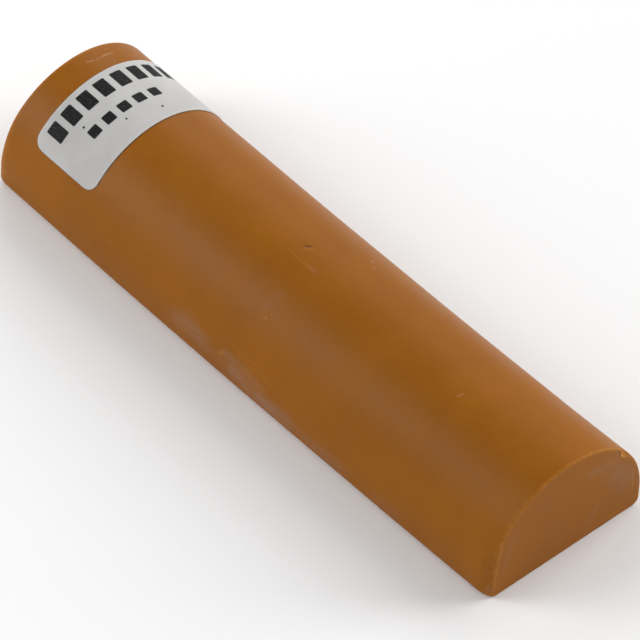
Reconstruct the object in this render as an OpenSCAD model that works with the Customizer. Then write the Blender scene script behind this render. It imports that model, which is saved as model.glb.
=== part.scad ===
// Half-round stick of furniture repair wax with a self-adhesive paper label wrapped over its crown.
// X runs along the stick and the labelled end is at -X. Z points up, and the origin is in the
// middle of the flat base. All lengths are in millimetres.

/* [Wax stick] */
// Length of the stick, between its end faces
stick_len = 110; // [60:1:200]
// Width across the side walls, and so the diameter of the round crown
stick_w = 30; // [26:0.5:50]
// Height of the upright side walls, from the base to the start of the crown
wall_h = 3.4; // [1.5:0.1:12]
// Radius of the two long edges of the base
base_edge_r = 1.3; // [0.3:0.1:3]
// Radius of the rim round each end face
end_rim_r = 0.5; // [0.2:0.1:2]

/* [Paper label] */
// Length of the label, measured round the crown
label_len = 35; // [16:0.5:42]
// Width of the label, measured along the stick
label_w = 13.8; // [6:0.2:40]
// Radius of the label's die-cut corners
label_corner_r = 2; // [0.5:0.1:6]
// Distance from the end face of the stick to the label
label_inset = 5.2; // [1:0.1:80]
// Distance of the label's middle from the top of the crown, measured round the crown towards +Y
label_shift = 2.2; // [-5:0.1:5]
// Thickness of the paper
paper_t = 0.1; // [0.06:0.01:0.3]
// Thickness of the adhesive film between the paper and the wax
adhesive_t = 0.03; // [0.02:0.01:0.1]

/* [Hidden] */
$fn = 96;

// How far cutting shapes run past what they cut
overrun = 1;

crown_r = stick_w / 2;
adhesive_r = crown_r + adhesive_t;
paper_r = adhesive_r + paper_t;
label_x = -stick_len / 2 + label_inset + label_w / 2;

// How far the label's cutting shapes reach from the axis of the crown
fan_reach = 2 * crown_r;

// How much wider the arcs of the label's die-cut corners are than smooth ones
die_cut_share = 0.001;

// Angles round the crown, from its top towards +Y
degrees_per_length = 180 / (PI * crown_r);
label_mid_a = label_shift * degrees_per_length;
label_half_a = label_len / 2 * degrees_per_length;
corner_a = label_half_a - asin(label_corner_r / crown_r);

// The stick seen from above, with its four upright edges rounded
module plan_outline() {
    square([stick_len - 2 * end_rim_r, stick_w], center = true);
    square([stick_len, stick_w - 2 * end_rim_r], center = true);
    for (x = [-1, 1], y = [-1, 1])
        translate([x * (stick_len / 2 - end_rim_r), y * (crown_r - end_rim_r)])
            circle(end_rim_r);
}

// Half a turn of the same outline about the stick's axis, so that the rim goes on over the crown
module crown() {
    translate([0, 0, wall_h])
        rotate([0, 90, 0])
            rotate([0, 0, 90])
                rotate_extrude(angle = 180)
                    intersection() {
                        rotate([0, 0, 90]) plan_outline();
                        translate([0, -stick_len]) square([stick_w, 2 * stick_len]);
                    }
}

// What is taken off to round a corner at the origin, which has its material towards +X and +Y.
// A wider arc crosses the two sides instead of running into them
module corner_waste(r, wider_share = 0) {
    difference() {
        translate([-overrun, -overrun]) square(r + overrun);
        translate([r, r]) circle(r * (1 + wider_share));
    }
}

// The same along an edge on the X axis, which has its material towards +Y and +Z
module edge_waste(length, r) {
    rotate([90, 0, 90])
        linear_extrude(length + 2 * overrun, center = true) corner_waste(r);
}

// The straight lower part of the stick, with all four edges of its base rounded
module walls() {
    difference() {
        linear_extrude(wall_h) plan_outline();
        for (side = [0, 1])
            mirror([0, side, 0])
                translate([0, -crown_r, 0]) edge_waste(stick_len, base_edge_r);
        for (end = [0, 1])
            mirror([end, 0, 0])
                translate([-stick_len / 2, 0, 0])
                    rotate([0, 0, -90]) edge_waste(stick_w, end_rim_r);
    }
}

module wax_stick() {
    color("#96602e") {
        crown();
        walls();
    }
}

// The label's section across the stick, as a fan from the axis. Its two sides are square to the
// crown at the centres of the label's corners
module label_fan() {
    out = [sin(corner_a), cos(corner_a)];
    end = label_corner_r * [cos(corner_a), -sin(corner_a)];
    right = [end, fan_reach * out + end];
    left = [for (p = [right[1], right[0]]) [-p[0], p[1]]];
    polygon(concat(right, [[0, fan_reach]], left));
}

// What is taken off the label at its four corners
module label_corner_wastes() {
    for (side = [0, 1], end = [0, 1])
        mirror([0, side, 0])
            mirror([end, 0, 0])
                rotate([-corner_a, 0, 0])
                    translate([-label_w / 2, label_corner_r, 0])
                        mirror([0, 1, 0])
                            linear_extrude(fan_reach) corner_waste(label_corner_r, die_cut_share);
}

// One layer of the label, curved round the crown between two radii
module label_layer(inner_r, outer_r) {
    translate([label_x, 0, wall_h])
        rotate([-label_mid_a, 0, 0])
            difference() {
                rotate([90, 0, 90])
                    linear_extrude(label_w, center = true)
                        intersection() {
                            difference() {
                                circle(outer_r);
                                circle(inner_r);
                            }
                            label_fan();
                        }
                label_corner_wastes();
            }
}

module label_adhesive() {
    color("#d8d2b8") label_layer(crown_r, adhesive_r);
}

module paper_label() {
    color("#e6e6e2") label_layer(adhesive_r, paper_r);
}

wax_stick();
label_adhesive();
paper_label();
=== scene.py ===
# Looks of a half-round stick of furniture repair wax with a paper label wrapped over its crown.
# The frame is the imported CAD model, in metres: X runs along the stick and Z is up. Near, far, left and
# right are as the camera sees them, so the labelled far end is at -X and the left side is at -Y.
# Shapes are worked out in millimetres here, and become metres where a mesh is made.
import math

import bpy
import numpy as np
from mathutils import Matrix, Vector

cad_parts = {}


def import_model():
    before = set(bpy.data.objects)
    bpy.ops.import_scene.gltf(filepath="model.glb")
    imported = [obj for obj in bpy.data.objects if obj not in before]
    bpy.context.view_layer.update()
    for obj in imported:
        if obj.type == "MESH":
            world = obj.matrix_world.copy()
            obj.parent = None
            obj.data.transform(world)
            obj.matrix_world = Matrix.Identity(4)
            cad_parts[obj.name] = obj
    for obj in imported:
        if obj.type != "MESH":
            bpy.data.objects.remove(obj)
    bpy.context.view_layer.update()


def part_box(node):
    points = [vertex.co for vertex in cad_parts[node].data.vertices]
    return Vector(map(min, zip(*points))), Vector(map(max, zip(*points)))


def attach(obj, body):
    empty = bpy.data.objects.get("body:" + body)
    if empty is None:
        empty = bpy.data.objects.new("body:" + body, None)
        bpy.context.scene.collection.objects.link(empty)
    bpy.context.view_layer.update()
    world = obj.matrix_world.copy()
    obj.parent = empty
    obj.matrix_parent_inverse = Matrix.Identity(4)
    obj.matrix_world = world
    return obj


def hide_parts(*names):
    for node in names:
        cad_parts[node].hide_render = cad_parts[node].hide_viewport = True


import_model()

MM = 0.001

# Camera, from a fit of the stick's outline to the photograph. Angles are in degrees
IMAGE_PIXELS = 640
FOCAL_PIXELS = 5674.0
SENSOR_WIDTH = 36.0
VIEW_AZIMUTH = 47.04
VIEW_ELEVATION = 46.32
VIEW_ROLL = -2.25
VIEW_DISTANCE = 848.15
VIEW_AIM = (-0.846, 2.233, 2.045)


def node_box(node):
    """Lowest and highest corner of a CAD node, in millimetres."""
    low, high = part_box(node)
    return np.array(low) / MM, np.array(high) / MM


# The bar's sizes, from the frame
WAX_LOW, WAX_HIGH = node_box("wax_stick")
LENGTH = WAX_HIGH[0] - WAX_LOW[0]
CROWN_R = (WAX_HIGH[1] - WAX_LOW[1]) / 2
WALL_H = WAX_HIGH[2] - CROWN_R

# Edges of the bar, and the stretch at each end that the mesh of the rim takes up
BASE_EDGE_R = 1.3
RIM_R = 0.18
RIM_ZONE = 0.6

# The pale line along the rims, partly wear and partly painted highlight: how far it reaches, its mean
# strength, and how much that varies over long and over short stretches
RIM_PALE_REACH = 0.36
RIM_PALE = 0.42
RIM_PALE_LONG = 0.08
RIM_PALE_SHORT = 0.04

# The lower left corners are worn in. Each has its end (1 near, -1 far), how deep the wear is at the foot
# and above it, and how far back it starts. It goes from the one depth to the other and then fades out
# between pairs of heights, and is paler where it is deeper
WORN_CORNERS = (
    (1, 0.65, 1.25, 2.4),
    (-1, 0.4, 0.4, 1.5),
)
WORN_FOOT = (0.5, 3.0)
WORN_TOP = (6.5, 14.0)
WORN_PALE = 0.28

# How far the middle of the bar bows along Y, how much the foot of the far end leans out, and how uneven
# the cast surface is
BOW = -0.5
FAR_LEAN = 0.8
WAVE = 0.03

# The crown is a little fuller at the near end: how much, over what length, and the distance round from
# the top of the crown at which that starts to fade out
FULLER = 0.15
FULLER_LENGTH = 14.0
FULLER_FADE = 12.0

# Distances round the section from the top of the crown to where each stretch of the outline ends
CROWN_END = CROWN_R * math.pi / 2
WALL_END = CROWN_END + WALL_H - BASE_EDGE_R
EDGE_END = WALL_END + BASE_EDGE_R * math.pi / 2
HALF_ROUND = EDGE_END + CROWN_R - BASE_EDGE_R

# Spacing of the bar's mesh in general, and near a small mark, chip or worn edge. The finer spacing has a
# reach, and a mark is small below a half width
COARSE_STEP = 0.88
FINE_STEP = 0.15
FINE_REACH = 0.65
FINE_MARK = 0.5

# Spacing on the base, and how far round from it the finer spacing of its long edges is centred
BASE_STEP = 1.2
BASE_FINE_UP = 1.0

# Steps of the mesh of a rim, before its turn and round it, and how far round the turn the marks of an end
# face begin, in radians
RIM_STRAIGHT_STEPS = 3
RIM_TURN_STEPS = 6
FACE_TURN = 1.0

# The rings of an end face: their spacing, and the height of the point that they close on. As shares of the
# way in to that point: the fan in the middle, where the rings are finer, and the reach of that
END_STEP = 0.3
END_MIDDLE_Z = 7.0
END_CORE = 0.03
END_FINE_AT = (0.0, 0.08)
END_FINE_REACH = 0.1

# Samples of a line that a spacing is worked out on
LINE_SAMPLES = 6001

# The label's place, from the frame: along the stick, and round the section from the top of the crown
PAPER_LOW, PAPER_HIGH = node_box("paper_label")
GLUE_HIGH = node_box("label_adhesive")[1]
GLUE_T = GLUE_HIGH[2] - WAX_HIGH[2]
PAPER_T = PAPER_HIGH[2] - GLUE_HIGH[2]
PAPER_R = CROWN_R + GLUE_T + PAPER_T
LABEL_START = PAPER_LOW[0] - WAX_LOW[0]
LABEL_END = PAPER_HIGH[0] - WAX_LOW[0]
LABEL_LEFT = CROWN_R * math.asin(PAPER_LOW[1] / PAPER_R)
LABEL_RIGHT = CROWN_R * math.asin(PAPER_HIGH[1] / PAPER_R)
LABEL_CORNER_R = 2.0

# The label was stuck on by hand: how far round it slipped, how much further along it lies per millimetre
# round, and the distance round at which it lies where the frame has it
LABEL_SLIP = 0.16
LABEL_SKEW = -0.011
LABEL_SKEW_FROM = 17.0

# How far the adhesive shows past the paper, and how much the top of the paper's edge has the cut's colour
GLUE_FRINGE = 0.15
CUT_SHOWN = 0.5

# Spacing of the label's mesh round the crown in general and at its ends, and its points along the stick
LABEL_STEP = 0.4
LABEL_FINE_STEP = 0.1
LABEL_POINTS = 41

# Edges of a mesh that turn by more than this are shaded as sharp
SHARP_ANGLE = math.radians(40)

# Marks on the bar, each as layer, strength, depth, half width and path. A path's points are the distance
# from the far end and the distance round from the top of the crown
# A dark mark sinks the surface a little, and its colour is painted shade in that pit or nick
BODY_MARKS = (
    ("dark", 0.7, 0.07, 0.44, ((52.85, 0.3), (53.2, 0.6), (53.35, 0.85))),
    ("pale", 0.2, 0.0, 0.7, ((53.5, 0.3), (54.1, 0.5))),
    ("pale", 0.2, 0.0, 0.32, ((51.7, -1.8), (54.3, -1.9), (57.0, -1.95))),
    ("haze", 0.06, 0.0, 0.7, ((56.6, -1.9), (57.6, -1.9))),
    ("fleck", 0.4, 0.03, 0.26, ((89.5, -2.6), (89.7, -2.0))),
    ("pale", 1.0, -0.04, 0.24, ((56.9, -12.05), (57.1, -12.0))),
    ("dark", 0.4, 0.06, 0.22, ((57.45, -11.75),)),
    ("haze", 0.05, 0.0, 1.0, ((55.9, -10.6), (55.9, -9.5), (56.5, -8.1))),
    ("dark", 0.8, 0.05, 0.26, ((43.2, 2.3),)),
    ("dark", 0.6, 0.04, 0.24, ((41.8, 5.2),)),
    ("dark", 0.2, 0.02, 0.24, ((43.1, 0.4),)),
    ("dark", 0.2, 0.02, 0.3, ((41.4, -1.3), (41.0, -1.6))),
    ("dark", 0.4, 0.04, 0.24, ((103.1, 5.6),)),
    ("dark", 0.3, 0.03, 0.24, ((80.1, 8.4),)),
    ("fleck", 0.28, 0.0, 0.44, ((60.2, 7.4), (60.5, 7.2))),
    ("fleck", 0.26, 0.0, 0.44, ((61.7, 6.3), (62.0, 6.1))),
    ("fleck", 0.16, 0.0, 0.3, ((67.4, 4.3),)),
    ("fleck", 0.18, 0.0, 0.24, ((72.3, 1.4),)),
    ("fleck", 0.16, 0.0, 0.24, ((71.7, -4.9),)),
    ("haze", 0.12, 0.0, 3.2, ((42.2, -22.8), (44.4, -21.8), (47.4, -22.6))),
    ("haze", 0.09, 0.0, 1.8, ((53.0, -21.6), (57.0, -21.8), (61.0, -22.4))),
    ("haze", 0.05, 0.0, 2.2, ((46.0, -22.8), (52.0, -23.6))),
    ("haze", 0.16, 0.0, 2.6, ((54.5, -23.4), (58.9, -24.4), (62.5, -24.6), (67.0, -24.5))),
    ("haze", 0.09, 0.0, 2.0, ((67.0, -24.6), (79.0, -24.9))),
    ("pale", 0.2, 0.0, 0.3, ((53.9, -19.0), (58.3, -19.1), (61.7, -19.6))),
    ("pale", 0.16, 0.0, 0.3, ((55.6, -19.8), (59.0, -20.1), (63.2, -20.3))),
    ("haze", 0.08, 0.0, 1.2, ((86.0, -24.4), (91.0, -24.6))),
    ("fleck", 0.45, 0.02, 0.18, ((2.25, 0.2), (2.5, 1.2))),
    ("fleck", 0.25, 0.02, 0.16, ((2.62, 1.6), (2.55, 2.5))),
    ("fleck", 0.5, 0.02, 0.19, ((2.55, 2.9), (2.42, 4.0), (2.5, 5.2))),
    ("fleck", 0.2, 0.02, 0.18, ((1.3, 4.6), (1.15, 5.3))),
    ("pale", 0.4, 0.0, 0.4, ((51.5, -22.3), (52.3, -21.3))),
    ("haze", 0.1, 0.0, 0.9, ((109.6, -24.9), (109.9, -25.3))),
    ("pale", 0.5, 0.0, 0.5, ((0.4, -23.6), (1.4, -23.4), (2.5, -23.8))),
    ("haze", 0.05, 0.0, 2.8, ((30.0, 21.8), (38.0, 22.6), (44.0, 21.6))),
    ("haze", 0.06, 0.0, 2.2, ((66.0, 24.3), (75.0, 23.8), (84.0, 24.5))),
    ("dark", 0.5, 0.08, 0.36, ((71.6, 17.2), (72.1, 17.9))),
    ("fleck", 0.4, 0.02, 0.22, ((33.0, 18.2), (33.7, 18.6))),
    ("pale", 0.5, 0.06, 0.45, ((97.2, 24.6), (98.0, 24.9))),
)

# Marks on the end faces, in the same way, with y and z as the points of a path
NEAR_END_MARKS = (
    ("haze", 0.08, 0.0, 3.6, ((8.8, 12.8), (9.8, 10.8), (11.8, 7.2))),
    ("haze", 0.08, 0.0, 1.6, ((4.6, 13.7), (6.4, 13.3), (8.3, 12.7), (9.8, 12.6))),
    ("haze", 0.07, 0.0, 0.9, ((12.6, 9.2), (13.3, 7.2))),
    ("haze", 0.08, 0.02, 0.8, ((4.7, 1.2), (5.7, 3.6), (6.5, 5.6))),
    ("haze", 0.04, 0.0, 1.2, ((-13.0, 2.2), (-12.8, 5.6), (-11.8, 8.8), (-10.2, 10.9))),
    ("pale", 0.15, 0.06, 0.8, ((5.6, 0.7), (8.4, 0.7), (11.6, 0.6))),
    # Painted shade along the foot of the near face, in a slightly chipped edge
    ("dark", 0.6, 0.1, 0.45, ((4.6, 0.0), (9.0, 0.1))),
    ("dark", 0.25, 0.04, 0.35, ((-2.2, 6.1),)),
    ("dark", 0.15, 0.03, 0.4, ((8.1, 10.6), (8.6, 10.2))),
    # The near chip: its crack in painted shade, and its flake, fresh wax with a painted highlight
    ("dark", 0.4, 0.12, 0.4, ((9.95, 14.3), (10.35, 13.5))),
    ("pale", 1.0, -0.06, 0.6, ((10.7, 13.2), (11.6, 12.3))),
    ("pale", 0.25, 0.0, 0.5, ((13.4, 3.6), (13.4, 8.2))),
)
FAR_END_MARKS = (
    ("haze", 0.06, 0.0, 3.4, ((-8.0, 6.0), (-3.0, 10.0), (2.0, 12.0))),
    ("haze", 0.06, 0.02, 0.7, ((3.0, 3.0), (7.0, 7.5))),
    ("haze", 0.05, 0.0, 2.4, ((9.0, 4.0), (5.0, 2.0))),
    ("pale", 0.4, 0.08, 0.7, ((-9.0, 0.5), (-6.0, 0.6))),
    ("dark", 0.3, 0.06, 0.4, ((-4.2, 5.2), (-3.8, 5.5))),
)

# Chips in the rims: end (1 near, -1 far), distance round from the top of the crown, radius, and bite as a
# share of it
CHIPS = (
    (1, 12.7, 1.2, 0.55),
    (-1, 16.4, 0.9, 0.5),
)

# How far a chip faces along the bar for each part that it faces out. As shares of its radius: the depth at
# which its scar is full, and where its dark side ends. Then how dark the painted shade on that side is, and
# how pale its other side is, as fresh wax with a painted highlight
CHIP_FACING = 0.75
CHIP_FULL = 0.3
CHIP_DARK_END = -0.2
CHIP_SHADE = 0.5
CHIP_FRESH_AND_LIT = 0.9


def graded(start, end, coarse, fine, places, reach):
    """Positions from start to end, coarse apart in general and fine apart within reach of a place."""
    line = np.linspace(start, end, LINE_SAMPLES)
    density = np.full(line.shape, 1 / coarse)
    for place in places:
        density = np.maximum(density, np.exp(-((line - place) / reach) ** 4) / fine)
    steps = (density[1:] + density[:-1]) / 2 * np.diff(line)
    count = np.concatenate([[0], np.cumsum(steps)])
    return np.interp(np.linspace(0, count[-1], round(count[-1]) + 1), count, line)


def outline(arc):
    """Point (y, z) and outward normal of the section at a distance round from the top of the crown."""
    side = np.where(arc < 0, -1.0, 1.0)
    far = np.abs(arc)
    turn = far / CROWN_R
    edge = (far - WALL_END) / BASE_EDGE_R
    where = [far <= CROWN_END, far <= WALL_END, far <= EDGE_END]
    y = np.select(
        where,
        [CROWN_R * np.sin(turn), CROWN_R, CROWN_R - BASE_EDGE_R + BASE_EDGE_R * np.cos(edge)],
        HALF_ROUND - far,
    )
    z = np.select(
        where,
        [WALL_H + CROWN_R * np.cos(turn), WALL_H - far + CROWN_END, BASE_EDGE_R * (1 - np.sin(edge))],
        0.0,
    )
    normal_y = np.select(where, [np.sin(turn), 1.0, np.cos(edge)], 0.0)
    normal_z = np.select(where, [np.cos(turn), 0.0, -np.sin(edge)], -1.0)
    return side * y, z, side * normal_y, normal_z


def wave(along, arc):
    """Height of the cast surface's slow unevenness, in millimetres."""
    # The lengths of the waves have no common multiple, so that no pattern shows
    slow = np.sin(along / 5.3 + 0.9 * np.sin(arc / 4.1)) * np.sin(arc / 3.7 + 0.4)
    slower = np.sin(along / 11.7 - arc / 8.9 + 1.3)
    return WAVE * (0.55 * slow + 0.45 * slower)


def fuller(x, arc):
    """How far the crown stands out near the near end, in millimetres."""
    near = eased(x, LENGTH / 2 - FULLER_LENGTH, LENGTH / 2)
    return FULLER * near * (1 - eased(np.abs(arc), FULLER_FADE, CROWN_END))


def bowed(points):
    """The points with the bar's bow, which is greatest halfway along, and the lean of its far end."""
    moved = points.copy()
    share = 2 * points[..., 0] / LENGTH
    moved[..., 1] += BOW * (1 - share**2)
    moved[..., 0] -= np.clip(-share, 0, 1) ** 2 * FAR_LEAN * (1 - points[..., 2] / WAX_HIGH[2])
    return moved


def eased(value, start, end):
    """0 before start, 1 past end and a smooth step between."""
    share = np.clip((value - start) / (end - start), 0, 1)
    return share * share * (3 - 2 * share)


def worn_in(points, end, foot, side, length):
    """How far a worn lower left corner is pushed in at each point."""
    back = np.clip((end * points[..., 0] - LENGTH / 2) / length + 1, 0, 1)
    left = np.clip(-points[..., 1] / CROWN_R, 0, 1)
    depth = foot + (side - foot) * eased(points[..., 2], *WORN_FOOT)
    return depth * back**2 * left * (1 - eased(points[..., 2], *WORN_TOP))


def stroke(u, v, path, half_width):
    """How much a soft stroke along a path covers the points (u, v), from 0 to 1."""
    nearest = np.full(u.shape, np.inf)
    for (u0, v0), (u1, v1) in zip(path, path[1:] or path):
        du = u1 - u0
        dv = v1 - v0
        span = max(du * du + dv * dv, 1e-9)
        share = np.clip(((u - u0) * du + (v - v0) * dv) / span, 0, 1)
        nearest = np.minimum(nearest, np.hypot(u - u0 - share * du, v - v0 - share * dv))
    return eased(1 - nearest / half_width, 0, 1)


def mesh_object(name, points, faces, material, layers):
    """A smooth mesh object from points in millimetres, with point attributes from layers."""
    mesh = bpy.data.meshes.new(name)
    mesh.from_pydata((points * MM).tolist(), [], faces)
    for layer, values in layers.items():
        kind = "FLOAT_VECTOR" if values.ndim == 2 else "FLOAT"
        field = "vector" if values.ndim == 2 else "value"
        mesh.attributes.new(layer, kind, "POINT").data.foreach_set(field, values.astype(np.float32).ravel())
    mesh.shade_smooth()
    mesh.set_sharp_from_angle(angle=SHARP_ANGLE)
    mesh.materials.append(material)
    piece = bpy.data.objects.new(name, mesh)
    bpy.context.scene.collection.objects.link(piece)
    return piece


class Graph:
    """Short calls that make a material's nodes."""

    def __init__(self, name):
        self.material = bpy.data.materials.new(name)
        self.material.use_nodes = True
        self.nodes = self.material.node_tree.nodes
        self.links = self.material.node_tree.links
        self.shader = self.nodes["Principled BSDF"]

    def put(self, socket, value):
        """Links a socket to an output, or sets it to a plain value."""
        if isinstance(value, bpy.types.NodeSocket):
            self.links.new(value, socket)
        else:
            socket.default_value = value

    def math(self, operation, a, b=0.0):
        """An operation on two numbers."""
        node = self.nodes.new("ShaderNodeMath")
        node.operation = operation
        self.put(node.inputs[0], a)
        self.put(node.inputs[1], b)
        return node.outputs[0]

    def vector(self, operation, a, b=(0.0, 0.0, 0.0)):
        """An operation on two vectors, or on the first of them."""
        node = self.nodes.new("ShaderNodeVectorMath")
        node.operation = operation
        self.put(node.inputs[0], a)
        self.put(node.inputs[1], b)
        return node.outputs["Value" if operation == "LENGTH" else "Vector"]

    def span(self, value, low, high, to_low=0.0, to_high=1.0):
        """The value taken smoothly from the range low to high into another range."""
        node = self.nodes.new("ShaderNodeMapRange")
        node.interpolation_type = "SMOOTHSTEP"
        for socket, given in zip(node.inputs, (value, low, high, to_low, to_high)):
            self.put(socket, given)
        return node.outputs[0]

    def mix(self, share, a, b):
        """Colour a turned into colour b by a share."""
        node = self.nodes.new("ShaderNodeMix")
        node.data_type = "RGBA"
        self.put(node.inputs[0], share)
        self.put(node.inputs[6], a)
        self.put(node.inputs[7], b)
        return node.outputs[2]

    def layer(self, name, output="Fac"):
        """A point attribute of the mesh."""
        node = self.nodes.new("ShaderNodeAttribute")
        node.attribute_name = name
        return node.outputs[output]

    def place(self, stretch=(1.0, 1.0, 1.0)):
        """Object coordinates in metres, stretched."""
        node = self.nodes.new("ShaderNodeTexCoord")
        return self.vector("MULTIPLY", node.outputs["Object"], stretch)

    def noise(self, place, scale, detail=2.0, rough=0.5):
        """Noise from 0 to 1, with about so many of its waves to the metre."""
        node = self.nodes.new("ShaderNodeTexNoise")
        self.put(node.inputs["Vector"], place)
        node.inputs["Scale"].default_value = scale
        node.inputs["Detail"].default_value = detail
        node.inputs["Roughness"].default_value = rough
        return node.outputs[0]

    def bump(self, height, distance, strength, under=None):
        """The normal of a surface raised by a height, over another normal or the mesh's own."""
        node = self.nodes.new("ShaderNodeBump")
        self.put(node.inputs["Height"], height)
        node.inputs["Distance"].default_value = distance
        node.inputs["Strength"].default_value = strength
        if under is not None:
            self.put(node.inputs["Normal"], under)
        return node.outputs["Normal"]


# The wax's two tones, and its colours where it is worn or has a painted highlight, flecked, in painted
# shade in pits, chips and along the foot, or bloomed
WAX_DEEP = (0.253, 0.081, 0.0011, 1.0)
WAX_LIGHT = (0.286, 0.0935, 0.0016, 1.0)
WAX_WORN_AND_LIT = (0.50, 0.190, 0.026, 1.0)
WAX_FLECK = (0.55, 0.375, 0.23, 1.0)
WAX_SHADE = (0.055, 0.022, 0.006, 1.0)
WAX_BLOOM = (0.33, 0.325, 0.32, 1.0)

# How much of the wax's tone comes from its clouds and not its grain, how its streaks stretch along the bar,
# how much dust shows, and the range of its roughness
CLOUD_SHARE = 0.75
STREAK_STRETCH = (0.3, 1.0, 1.0)
DUST = 0.03
WAX_ROUGH = (0.4, 0.54)


def wax_material():
    """Clouded cast wax, with the marks that are painted in the mesh's layers."""
    g = Graph("cast_wax")
    place = g.place()
    cloud = g.noise(place, scale=90.0, detail=4.0, rough=0.6)
    grain = g.noise(place, scale=1600.0, detail=2.0, rough=0.6)
    streak = g.noise(g.place(STREAK_STRETCH), scale=500.0, detail=5.0, rough=0.7)
    dust = g.noise(place, scale=1300.0, detail=0.0)
    ragged = g.span(grain, 0.3, 0.6, 0.35, 1.0)
    bloom = g.math("MULTIPLY", g.layer("haze"), g.span(streak, 0.32, 0.68, 0.5, 1.4))
    from_cloud = g.math("MULTIPLY", cloud, CLOUD_SHARE)
    tone = g.math("ADD", from_cloud, g.math("MULTIPLY", grain, 1 - CLOUD_SHARE))
    colour = g.mix(g.span(tone, 0.32, 0.68), WAX_DEEP, WAX_LIGHT)
    # The pale layer is wear and fresh wax, and along the rims and on the lit side of chips also painted
    # highlight
    colour = g.mix(g.math("MULTIPLY", g.layer("pale"), ragged), colour, WAX_WORN_AND_LIT)
    colour = g.mix(bloom, colour, WAX_BLOOM)
    colour = g.mix(g.math("MULTIPLY", g.layer("fleck"), ragged), colour, WAX_FLECK)
    colour = g.mix(g.span(dust, 0.8, 0.88, 0.0, DUST), colour, WAX_FLECK)
    # The dark layer is painted shade: in pits and nicks, on the dark side of chips and along the foot of
    # the near face
    colour = g.mix(g.math("MULTIPLY", g.layer("dark"), ragged), colour, WAX_SHADE)
    g.put(g.shader.inputs["Base Color"], colour)
    g.put(g.shader.inputs["Roughness"], g.span(g.math("ADD", cloud, bloom), 0.2, 1.0, *WAX_ROUGH))
    g.shader.inputs["IOR"].default_value = 1.42
    g.shader.inputs["Specular IOR Level"].default_value = 0.18
    fine = g.bump(grain, distance=0.00002, strength=0.5)
    g.put(g.shader.inputs["Normal"], g.bump(cloud, distance=0.0003, strength=0.25, under=fine))
    return g.material


# The paper's two tones, the colours of its stain, its cut edge and its print, and the range of its
# roughness
PAPER_WHITE = (0.497, 0.491, 0.480, 1.0)
PAPER_GREY = (0.457, 0.450, 0.439, 1.0)
PAPER_STAIN = (0.38, 0.30, 0.18, 1.0)
PAPER_CUT = (0.63, 0.57, 0.48, 1.0)
PRINT_BLACK = (0.008, 0.007, 0.008, 1.0)
PAPER_ROUGH = (0.55, 0.7)

# The print, a plain border pattern: a row of equal bars with a row of smaller equal squares beside it. Each
# row has its start and end along the stick, the start of its first mark round the crown, and a mark's
# length, pitch and count
PRINT_ROWS = (
    (6.5, 9.9, -12.3, 2.2, 3.3, 9),
    (12.3, 14.2, -8.4, 1.9, 3.0, 5),
)

# The radius of a printed mark's corners, half the width over which its ink fades out, how far the paper's
# fibres fray it, and how much ink there is where it is thinnest
BLOCK_CORNER = 0.25
BLOCK_EDGE = 0.06
INK_FRAY = 0.12
INK_THIN = 0.95

# A brown stain on the paper, as its place along the stick and round the crown, and its radius. Then the
# radius inside which it is strongest, how strong it is there, and how uneven it is
STAIN = (10.8, 2.4, 1.3)
STAIN_CORE = 0.4
STAIN_STRENGTH = 0.3
STAIN_UNEVEN = 1.2

# Specks of ink: along the stick, round the crown, and radius
INK_SPECKS = (
    (11.3, -8.1, 0.2),
    (15.4, -2.8, 0.18),
    (16.7, 3.2, 0.22),
)


def block_distance(g, plan, along_0, along_1, round_0, round_1):
    """Distance of a point of the label from one printed block, in millimetres."""
    middle = ((along_0 + along_1) / 2, (round_0 + round_1) / 2, 0.0)
    half = ((along_1 - along_0) / 2 - BLOCK_CORNER, (round_1 - round_0) / 2 - BLOCK_CORNER, 0.0)
    away = g.vector("ABSOLUTE", g.vector("SUBTRACT", plan, middle))
    return g.vector("LENGTH", g.vector("MAXIMUM", g.vector("SUBTRACT", away, half)))


def spot_distance(g, plan, along, round_at):
    """Distance of a point of the label from a spot on it, in millimetres."""
    return g.vector("LENGTH", g.vector("SUBTRACT", plan, (along, round_at, 0.0)))


def print_distance(g, plan):
    """Distance of a point of the label from the nearest printed mark or speck, in millimetres."""
    distances = []
    for along_0, along_1, first, length, pitch, count in PRINT_ROWS:
        for step in range(count):
            start = first + step * pitch
            distances.append(block_distance(g, plan, along_0, along_1, start, start + length))
    for along, round_at, radius in INK_SPECKS:
        distances.append(g.math("ADD", spot_distance(g, plan, along, round_at), BLOCK_CORNER - radius))
    nearest = distances[0]
    for other in distances[1:]:
        nearest = g.math("MINIMUM", nearest, other)
    return nearest


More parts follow.
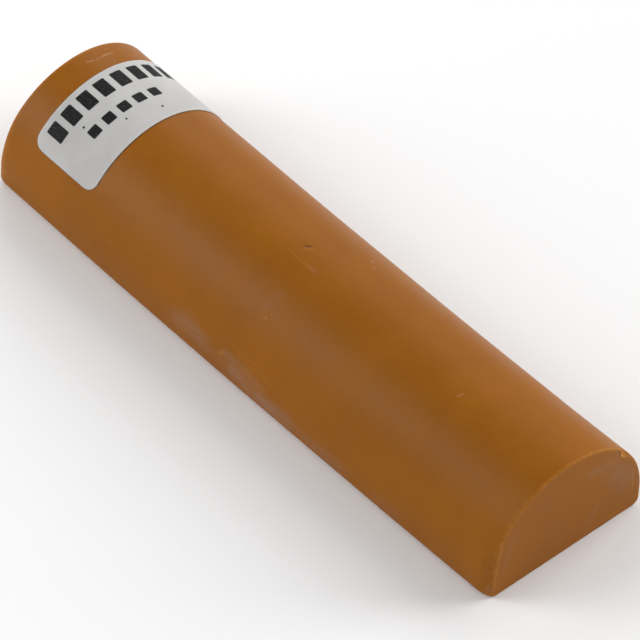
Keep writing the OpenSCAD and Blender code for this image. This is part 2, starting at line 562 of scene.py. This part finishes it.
def paper_material():
    """Fibrous white paper with a cut edge, a stain and the print."""
    g = Graph("label_paper")
    place = g.place()
    plan = g.layer("plan", "Vector")
    fibre = g.noise(place, scale=2500.0, detail=3.0, rough=0.6)
    cloud = g.noise(place, scale=180.0, detail=2.0)
    colour = g.mix(g.span(cloud, 0.3, 0.7), PAPER_GREY, PAPER_WHITE)
    colour = g.mix(g.layer("cut"), colour, PAPER_CUT)
    along, round_at, radius = STAIN
    uneven = g.math("MULTIPLY", cloud, STAIN_UNEVEN)
    stain = g.math("ADD", spot_distance(g, plan, along, round_at), uneven)
    colour = g.mix(g.span(stain, STAIN_CORE, radius, STAIN_STRENGTH, 0.0), colour, PAPER_STAIN)
    fray = g.math("MULTIPLY", g.math("SUBTRACT", fibre, 0.5), INK_FRAY)
    edge = g.math("ADD", print_distance(g, plan), fray)
    ink = g.span(edge, BLOCK_CORNER - BLOCK_EDGE, BLOCK_CORNER + BLOCK_EDGE, 1.0, 0.0)
    ink = g.math("MULTIPLY", ink, g.span(fibre, 0.25, 0.5, INK_THIN, 1.0))
    colour = g.mix(ink, colour, PRINT_BLACK)
    g.put(g.shader.inputs["Base Color"], colour)
    g.put(g.shader.inputs["Roughness"], g.span(fibre, 0.2, 0.8, *PAPER_ROUGH))
    g.shader.inputs["IOR"].default_value = 1.4
    g.shader.inputs["Specular IOR Level"].default_value = 0.2
    g.put(g.shader.inputs["Normal"], g.bump(fibre, distance=0.00001, strength=0.5))
    return g.material


# The adhesive's colour over the wax, that of its darker patches, and the range of its roughness
GLUE_CLEAR = (0.17, 0.075, 0.02, 1.0)
GLUE_DARK = (0.06, 0.03, 0.014, 1.0)
GLUE_ROUGH = (0.25, 0.5)


def glue_material():
    """Adhesive, darker in patches."""
    g = Graph("label_glue")
    patches = g.noise(g.place(), scale=600.0, detail=3.0, rough=0.6)
    g.put(g.shader.inputs["Base Color"], g.mix(g.span(patches, 0.35, 0.6), GLUE_CLEAR, GLUE_DARK))
    g.put(g.shader.inputs["Roughness"], g.span(patches, 0.3, 0.7, *GLUE_ROUGH))
    return g.material


def small_mark_points():
    """Points of the marks that the mesh is made finer for."""
    points = []
    for layer, strength, depth, half_width, path in BODY_MARKS:
        if half_width < FINE_MARK:
            points += path
    return points


def end_rings():
    """Rings of one end of the bar, from the body to the middle of its face.

    Each has how far it is past the body, how far inside the section's outline, its size on the face, how
    far round the turn of the rim it is, and its distance over the surface from the middle of that turn.
    """
    straight = np.linspace(0, RIM_ZONE - RIM_R, RIM_STRAIGHT_STEPS + 1)[1:]
    turn = np.linspace(0, math.pi / 2, RIM_TURN_STEPS + 1)[1:]
    way_in = graded(0, 1 - END_CORE, END_STEP / CROWN_R, FINE_STEP / CROWN_R, END_FINE_AT, END_FINE_REACH)
    size = 1 - way_in[1:]
    same = np.ones(size.shape)
    past = np.concatenate([straight, RIM_ZONE - RIM_R + RIM_R * np.sin(turn), same * RIM_ZONE])
    inset = np.concatenate([0 * straight, RIM_R * (1 - np.cos(turn)), same * RIM_R])
    sizes = np.concatenate([0 * straight + 1, 0 * turn + 1, size])
    turns = np.concatenate([0 * straight, turn, same * math.pi / 2])
    half_turn = RIM_R * math.pi / 4
    before = straight - (RIM_ZONE - RIM_R) - half_turn
    beyond = (1 - size) * CROWN_R + half_turn
    away = np.concatenate([before, RIM_R * turn - half_turn, beyond])
    return past, inset, sizes, turns, away


def arc_list():
    """Positions of the bar's mesh round the section, from the middle of the base round over the crown."""
    places = [v for u, v in small_mark_points()]
    places += [BASE_FINE_UP - EDGE_END, EDGE_END - BASE_FINE_UP]
    places += [at + reach for end, at, radius, bite in CHIPS for reach in (-radius / 2, radius / 2)]
    over = graded(-EDGE_END, EDGE_END, COARSE_STEP, FINE_STEP, places, FINE_REACH)
    base = np.arange(EDGE_END + BASE_STEP, HALF_ROUND - BASE_STEP / 2, BASE_STEP)
    return np.concatenate([[-HALF_ROUND], -base[::-1], over, base])


def ring_faces(rings, count):
    """Faces of a tube of rings, closed by a fan at each end. The fans' middles come after the rings."""
    step = np.arange(count)
    after = (step + 1) % count
    this = np.arange(rings - 1)[:, None] * count
    following = this + count
    quads = np.stack([this + step, following + step, following + after, this + after], -1)
    middle = rings * count
    last = middle - count
    start_fan = np.stack([np.full(count, middle), step, after], -1)
    end_fan = np.stack([np.full(count, middle + 1), last + after, last + step], -1)
    return quads.reshape(-1, 4).tolist() + start_fan.tolist() + end_fan.tolist()


def add_marks(layers, sink, marks, u, v, where):
    """Paints marks into the layers and returns the sink of the surface with their depth added."""
    for layer, strength, depth, half_width, path in marks:
        cover = stroke(u, v, path, half_width) * where
        layers[layer] = np.maximum(layers[layer], strength * cover)
        sink = sink + depth * cover
    return sink


def chip(points, layers, end, at, radius, bite):
    """Scoops a chip out of a rim: a ball bites into the edge, and its scar has a dark side of painted shade
    and a pale side of fresh wax with a painted highlight.
    """
    y, z, normal_y, normal_z = outline(np.array(at))
    corner = np.array([end * LENGTH / 2, y, z])
    facing = np.array([CHIP_FACING * end, normal_y, normal_z])
    facing = facing / np.linalg.norm(facing)
    offset = points - corner - facing * radius * (1 - bite)
    depth = offset @ facing
    beside = np.linalg.norm(offset - depth[..., None] * facing, axis=-1)
    floor_depth = -np.sqrt(np.clip(radius**2 - beside**2, 0, None))
    move = np.where(beside < radius, np.clip(depth - floor_depth, 0, None), 0)
    move = np.where(depth < radius, move, 0)
    points -= move[..., None] * facing
    scar = np.clip(move / (CHIP_FULL * radius), 0, 1)
    across = offset @ np.array([0, normal_z, -normal_y])
    # The scar's dark side is painted shade in the crack; its pale side is fresh wax with a painted
    # highlight
    on_dark_side = across < CHIP_DARK_END * radius
    layers["dark"] = np.maximum(layers["dark"], CHIP_SHADE * scar * on_dark_side)
    layers["pale"] = np.maximum(layers["pale"], CHIP_FRESH_AND_LIT * scar * ~on_dark_side)


def rim_wear_and_highlight(arc, away):
    """A soft pale line along a rim, partly wear and partly painted highlight, stronger in places and none
    at the base.
    """
    strength = RIM_PALE - RIM_PALE_LONG * np.sin(arc / 12) + RIM_PALE_SHORT * np.sin(arc * 2.3)
    return np.exp(-((away / RIM_PALE_REACH) ** 2)) * strength * (1 - eased(np.abs(arc), CROWN_END, EDGE_END))


def wax_bar(material):
    """The bar, as one closed mesh of rings from the middle of the far end face to that of the near one."""
    arc = arc_list()
    past, inset, size, turn, away = end_rings()

    # The rings along the bar: those of the far end, the body and the near end
    body_end = LENGTH / 2 - RIM_ZONE
    places = [u - LENGTH / 2 for u, v in small_mark_points()]
    places += [end * (body_end - length / 2) for end, foot, side, length in WORN_CORNERS]
    body_x = graded(-body_end, body_end, COARSE_STEP, FINE_STEP, places, FINE_REACH)
    plain = np.zeros(body_x.shape)
    x = np.concatenate([-body_end - past[::-1], body_x, body_end + past])[:, None] + 0 * arc
    inset = np.concatenate([inset[::-1], plain, inset])[:, None]
    size = np.concatenate([size[::-1], plain + 1, size])[:, None]
    turn = np.concatenate([turn[::-1], plain, turn])[:, None] + 0 * arc
    away = np.concatenate([away[::-1], plain - LENGTH, away])[:, None]

    # The points of the smooth surface, and which way is out of it
    arcs = arc + 0 * x
    y, z, normal_y, normal_z = outline(arcs)
    y = y + fuller(x, arcs) * normal_y
    z = z + fuller(x, arcs) * normal_z
    side = np.cos(turn)
    out = np.stack([np.sign(x) * np.sin(turn), normal_y * side, normal_z * side], -1)
    section_y = (y - inset * normal_y) * size
    section_z = END_MIDDLE_Z + (z - inset * normal_z - END_MIDDLE_Z) * size
    points = np.stack([x, section_y, section_z], -1)

    # Unevenness and marks, as how far the surface sinks in and as layers
    layers = {name: np.zeros(x.shape) for name in ("pale", "dark", "haze", "fleck")}
    on_base = np.abs(arcs) > EDGE_END
    sink = np.where(on_base, 0, -wave(x + LENGTH / 2, arcs) * side)
    sink = add_marks(layers, sink, BODY_MARKS, x + LENGTH / 2, arcs, turn < math.pi / 2)
    on_face = turn > FACE_TURN
    sink = add_marks(layers, sink, NEAR_END_MARKS, section_y, section_z, (x > 0) & on_face)
    sink = add_marks(layers, sink, FAR_END_MARKS, section_y, section_z, (x < 0) & on_face)
    # The rims' pale line is partly wear and partly painted highlight
    layers["pale"] = np.maximum(layers["pale"], rim_wear_and_highlight(arcs, away))
    points = points - sink[..., None] * out

    # Chips and worn corners
    for mark in CHIPS:
        chip(points, layers, *mark)
    for corner in WORN_CORNERS:
        worn = worn_in(points, *corner)
        layers["pale"] = np.maximum(layers["pale"], WORN_PALE * np.sqrt(worn) * side)
        points[..., 1] += worn
    points[..., 2] = np.maximum(points[..., 2], 0)

    # The middles of the end faces come last
    middles = np.array([[-LENGTH / 2, 0, END_MIDDLE_Z], [LENGTH / 2, 0, END_MIDDLE_Z]])
    points = bowed(np.concatenate([points.reshape(-1, 3), middles]))
    layers = {name: np.concatenate([values.ravel(), [0, 0]]) for name, values in layers.items()}
    return mesh_object("wax_bar", points, ring_faces(*x.shape), material, layers)


def label_sheet(name, low, high, fringe, material):
    """A thin closed sheet with the label's outline and a fringe, over the crown between two heights."""
    # Places of the mesh along the stick and round the crown, inside the outline with its round corners
    left = LABEL_LEFT + LABEL_SLIP - fringe
    right = LABEL_RIGHT + LABEL_SLIP + fringe
    corner = LABEL_CORNER_R + fringe
    arc = graded(left, right, LABEL_STEP, LABEL_FINE_STEP, (left, right), corner / 2)
    across = np.linspace(-1, 1, LABEL_POINTS)
    short = np.clip(corner - np.minimum(arc - left, right - arc), 0, corner)
    half = (LABEL_END - LABEL_START) / 2 - LABEL_CORNER_R + np.sqrt(corner**2 - short**2)
    along = (LABEL_START + LABEL_END) / 2 + half[:, None] * across
    arcs = arc[:, None] + 0 * along
    along = along + LABEL_SKEW * (arcs - LABEL_SKEW_FROM)

    # The top and then the underside, over the crown
    turn = arcs / CROWN_R
    sheets = []
    for height in (high, low):
        radius = CROWN_R + height + wave(along, arcs)
        y = radius * np.sin(turn)
        z = WALL_H + radius * np.cos(turn)
        sheets.append(np.stack([along - LENGTH / 2, y, z], -1))
    points = bowed(np.concatenate([sheet.reshape(-1, 3) for sheet in sheets]))

    # Faces of the top, the underside and the cut edge between them
    rows, columns = along.shape
    count = rows * columns
    index = np.arange(count).reshape(rows, columns)
    top = np.stack([index[:-1, :-1], index[:-1, 1:], index[1:, 1:], index[1:, :-1]], -1).reshape(-1, 4)
    loop = np.concatenate([index[0, :-1], index[:-1, -1], index[-1, :0:-1], index[:0:-1, 0]])
    after = np.roll(loop, -1)
    edge = np.stack([loop, loop + count, after + count, after], -1)
    faces = top.tolist() + (top[:, ::-1] + count).tolist() + edge.tolist()

    # Layers for the paper's material: the place on the label, and how far it has the cut's colour
    plan = np.stack([along, arcs, 0 * arcs], -1).reshape(-1, 3)
    shown = np.zeros(count)
    shown[loop] = CUT_SHOWN
    cut = np.concatenate([shown, np.ones(count)])
    return mesh_object(name, points, faces, material, {"plan": np.concatenate([plan, plan]), "cut": cut})


# The floor: the radius of its disc, its height just below the base, the disc's sides and its two tones
FLOOR_R = 4000.0
FLOOR_Z = -0.05
FLOOR_SIDES = 96
FLOOR_DARK = (0.88, 0.88, 0.88, 1.0)
FLOOR_LIGHT = (0.9, 0.9, 0.9, 1.0)


def floor():
    """A plain pale disc under the bar."""
    g = Graph("floor")
    tone = g.noise(g.place(), scale=8.0, detail=2.0)
    g.put(g.shader.inputs["Base Color"], g.mix(tone, FLOOR_DARK, FLOOR_LIGHT))
    g.shader.inputs["Roughness"].default_value = 0.9
    g.shader.inputs["Specular IOR Level"].default_value = 0.1
    turn = np.linspace(0, 2 * math.pi, FLOOR_SIDES, endpoint=False)
    rim = np.stack([FLOOR_R * np.cos(turn), FLOOR_R * np.sin(turn), np.full(turn.shape, FLOOR_Z)], -1)
    disc = mesh_object("floor", rim, [list(range(FLOOR_SIDES))], g.material, {})


# Soft lights: azimuth and elevation of each as seen from the stick in degrees, its distance and width in
# metres, and its power in watts. Azimuth 0 is towards +X and 90 towards +Y
LIGHTS = {
    "right_box": (60.0, 20.0, 2.2, 1.1, 26.8),
    "right_top_box": (90.0, 45.0, 2.2, 1.1, 12.4),
    "left_box": (-135.0, 40.0, 2.2, 1.1, 9.0),
    "back_box": (135.0, 25.0, 2.2, 1.1, 3.4),
    "back_panel": (150.0, 18.0, 0.6, 0.3, 0.57),
    "left_panel": (-125.0, 32.0, 0.6, 0.3, 0.25),
    "back_left_panel": (-140.0, 20.0, 0.6, 0.3, 1.01),
}

# Strength of the surround at the horizon and overhead, and the sine of the elevation where overhead starts
WORLD_HORIZON = 0.493
WORLD_ZENITH = 0.426
WORLD_ZENITH_FROM = 0.8


def lights():
    """The soft lights, which the camera doesn't see."""
    for name, (azimuth, elevation, distance, width, power) in LIGHTS.items():
        a = math.radians(azimuth)
        e = math.radians(elevation)
        towards = Vector((math.cos(a) * math.cos(e), math.sin(a) * math.cos(e), math.sin(e)))
        data = bpy.data.lights.new(name, "AREA")
        data.shape = "DISK"
        data.size = width
        data.energy = power
        lamp = bpy.data.objects.new(name, data)
        lamp.location = towards * distance
        lamp.rotation_euler = towards.to_track_quat("Z", "Y").to_euler()
        lamp.visible_camera = False
        bpy.context.scene.collection.objects.link(lamp)


def world():
    """A plain surround, brighter at the horizon than overhead."""
    made = bpy.data.worlds.new("studio")
    made.use_nodes = True
    nodes = made.node_tree.nodes
    links = made.node_tree.links
    place = nodes.new("ShaderNodeTexCoord")
    split = nodes.new("ShaderNodeSeparateXYZ")
    span = nodes.new("ShaderNodeMapRange")
    links.new(place.outputs["Generated"], split.inputs[0])
    links.new(split.outputs["Z"], span.inputs["Value"])
    span.inputs["From Min"].default_value = 0.0
    span.inputs["From Max"].default_value = WORLD_ZENITH_FROM
    span.inputs["To Min"].default_value = WORLD_HORIZON
    span.inputs["To Max"].default_value = WORLD_ZENITH
    links.new(span.outputs[0], nodes["Background"].inputs["Strength"])
    nodes["Background"].inputs["Color"].default_value = (1.0, 1.0, 1.0, 1.0)
    bpy.context.scene.world = made


def camera():
    """The camera at the photograph's viewing angle."""
    azimuth = math.radians(VIEW_AZIMUTH)
    elevation = math.radians(VIEW_ELEVATION)
    roll = math.radians(VIEW_ROLL)
    back = Vector(
        (
            math.sin(azimuth) * math.cos(elevation),
            -math.cos(azimuth) * math.cos(elevation),
            math.sin(elevation),
        )
    )
    level = Vector((0, 0, 1)).cross(back).normalized()
    up = back.cross(level)
    right = level * math.cos(roll) - up * math.sin(roll)
    up = back.cross(right)
    data = bpy.data.cameras.new("camera")
    data.sensor_width = SENSOR_WIDTH
    data.lens = SENSOR_WIDTH * FOCAL_PIXELS / IMAGE_PIXELS
    made = bpy.data.objects.new("camera", data)
    turn = Matrix((right, up, back)).transposed().to_4x4()
    made.matrix_world = Matrix.Translation((Vector(VIEW_AIM) + back * VIEW_DISTANCE) * MM) @ turn
    bpy.context.scene.collection.objects.link(made)
    bpy.context.scene.camera = made


def dress(piece, node):
    """The piece stands for a CAD node: it joins the root body, and the node is hidden."""
    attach(piece, "root")
    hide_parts(node)


camera()
world()
lights()
floor()
dress(wax_bar(wax_material()), "wax_stick")
dress(label_sheet("adhesive_film", 0.0, GLUE_T, GLUE_FRINGE, glue_material()), "label_adhesive")
dress(label_sheet("label_paper", GLUE_T, GLUE_T + PAPER_T, 0.0, paper_material()), "paper_label")
bpy.context.scene.view_settings.view_transform = "Standard"
